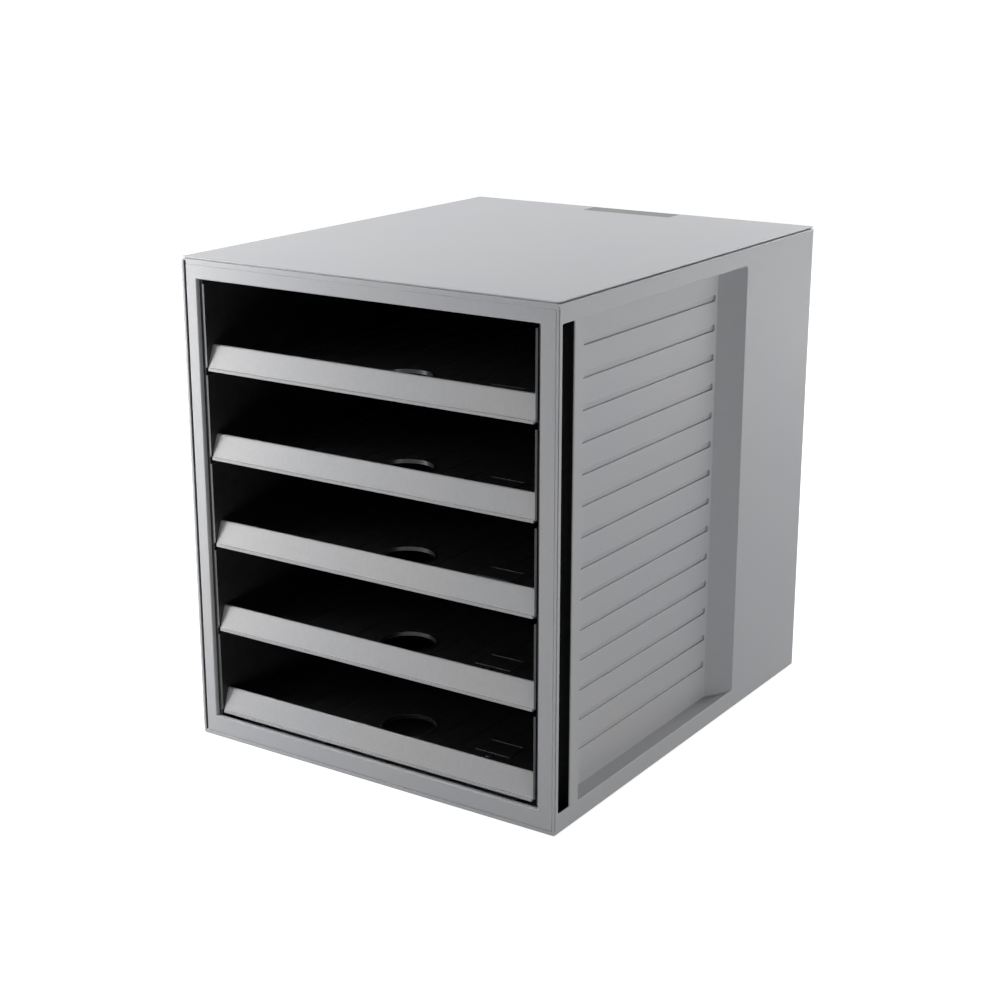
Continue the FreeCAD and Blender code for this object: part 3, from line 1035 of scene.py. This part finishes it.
def make_trays(materials):
    body = tray()
    front = tray_front()
    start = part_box("tray_1")[0]
    for number in range(1, tray_count + 1):
        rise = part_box("tray_" + str(number))[0] - start
        body_copy = body
        front_copy = front
        if number > 1:
            body_copy = moved_copy(body, "tray_shell_" + str(number), rise)
            front_copy = moved_copy(front, "tray_front_shell_" + str(number), rise)
        unit = "tray_unit_" + str(number)
        dress(body_copy, unit, "inner_black", materials, "tray_" + str(number))
        dress(front_copy, unit, "tray_front_grey", materials, "tray_front_" + str(number))


# Studio

def seen_share(tree):
    # One for what the camera sees, straight or in a reflection or through glass, and zero for light.
    path = tree.nodes.new("ShaderNodeLightPath")
    total = path.outputs["Is Camera Ray"]
    for kind in ("Is Glossy Ray", "Is Transmission Ray"):
        step = tree.nodes.new("ShaderNodeMath")
        step.operation = "MAXIMUM"
        tree.links.new(total, step.inputs[0])
        tree.links.new(path.outputs[kind], step.inputs[1])
        total = step.outputs[0]
    return total


def make_floor():
    # White paper. Its glow is only seen and casts no light, and it rises away from the middle.
    bpy.ops.mesh.primitive_plane_add(size=floor_size, location=(0, 0, 0))
    floor = bpy.context.object
    floor.name = "studio_floor"
    material = bpy.data.materials.new("floor_paper")
    material.use_nodes = True
    tree = material.node_tree
    shader = tree.nodes["Principled BSDF"]
    shader.inputs["Base Color"].default_value = floor_white + (1.0,)
    shader.inputs["Roughness"].default_value = 1.0
    shader.inputs["Specular IOR Level"].default_value = 0.0
    glow = tree.nodes.new("ShaderNodeEmission")
    place = tree.nodes.new("ShaderNodeTexCoord")
    distance = tree.nodes.new("ShaderNodeVectorMath")
    distance.operation = "LENGTH"
    tree.links.new(place.outputs["Object"], distance.inputs[0])
    rise = spread(tree, distance.outputs["Value"], start=glow_rise_start, end=glow_rise_end,
                  low=floor_glow_near, high=floor_glow_far)
    tree.links.new(multiply(tree, seen_share(tree), rise), glow.inputs["Strength"])
    total = tree.nodes.new("ShaderNodeAddShader")
    tree.links.new(shader.outputs[0], total.inputs[0])
    tree.links.new(glow.outputs[0], total.inputs[1])
    tree.links.new(total.outputs[0], tree.nodes["Material Output"].inputs["Surface"])
    floor.data.materials.append(material)


def make_world():
    # White where it is seen, dim where it lights.
    world = bpy.data.worlds.new("studio")
    bpy.context.scene.world = world
    world.use_nodes = True
    tree = world.node_tree
    background = tree.nodes["Background"]
    background.inputs["Color"].default_value = backdrop_white
    background.inputs["Strength"].default_value = room_light
    backdrop = tree.nodes.new("ShaderNodeBackground")
    backdrop.inputs["Color"].default_value = backdrop_white
    backdrop.inputs["Strength"].default_value = 1.0
    blend = tree.nodes.new("ShaderNodeMixShader")
    tree.links.new(seen_share(tree), blend.inputs[0])
    tree.links.new(background.outputs[0], blend.inputs[1])
    tree.links.new(backdrop.outputs[0], blend.inputs[2])
    tree.links.new(blend.outputs[0], tree.nodes["World Output"].inputs["Surface"])


def area_lamp(name, place, target, size, power):
    bpy.ops.object.light_add(type="AREA", location=place)
    lamp = bpy.context.object
    lamp.name = name
    lamp.rotation_euler = (Vector(target) - Vector(place)).to_track_quat("-Z", "Y").to_euler()
    lamp.data.shape = "RECTANGLE"
    lamp.data.size = size[0]
    lamp.data.size_y = size[1]
    lamp.data.energy = power
    lamp.visible_camera = False


def make_lamps():
    # From the front left, for the fall of light across the fronts
    area_lamp("left_softbox", place=(-0.48, -0.42, 0.34), target=(-0.1, -0.165, 0.16), size=(0.3, 0.5),
              power=0.6)
    area_lamp("left_strip", place=(-0.31, -0.32, 0.22), target=(-0.1, -0.165, 0.14), size=(0.12, 0.4),
              power=0.68)
    area_lamp("left_key", place=(-0.44, -0.5, 0.42), target=(-0.05, -0.165, 0.18), size=(0.08, 0.3),
              power=0.5)
    area_lamp("front_fill", place=(-0.6, -1.7, 0.8), target=(0, -0.2, 0.15), size=(0.8, 0.8),
              power=2.8)
    # From above and from behind, for the top
    area_lamp("top_softbox", place=(-0.75, 0.2, 1.5), target=(0, 0, 0.3), size=(1.4, 1.4),
              power=7.9)
    area_lamp("top_near", place=(-0.55, -0.25, 0.95), target=(-0.05, -0.05, 0.3), size=(0.5, 0.5),
              power=3.0)
    area_lamp("rear_softbox", place=(0.2, 1.6, 0.9), target=(0, 0.1, 0.25), size=(1.0, 0.8),
              power=21.0)
    # From the right, for the side
    area_lamp("right_rear", place=(0.9, 1.4, 0.35), target=(0.1, 0, 0.16), size=(0.8, 0.8),
              power=2.4)
    area_lamp("right_rear_low", place=(0.9, 1.2, 0.05), target=(0.137, 0, 0.16), size=(0.9, 0.1),
              power=2.2)
    area_lamp("right_low", place=(0.9, -0.5, 0.05), target=(0.137, -0.1, 0.1), size=(0.5, 0.06),
              power=1.7)


def make_camera():
    bpy.ops.object.camera_add(location=camera_place)
    camera = bpy.context.object
    camera.rotation_euler = (math.radians(level_tilt + camera_pitch), 0, math.radians(camera_yaw))
    camera.data.sensor_width = sensor_width
    camera.data.lens = sensor_width * focal_pixels / image_size
    camera.data.clip_start = clip_start
    bpy.context.scene.camera = camera


def make_scene():
    deselect()
    materials = make_materials()
    finish_nodes(materials)
    make_casing(materials)
    make_feet(materials)
    make_trays(materials)
    make_floor()
    make_world()
    make_lamps()
    make_camera()
    bpy.context.scene.view_settings.view_transform = "Standard"


make_scene()
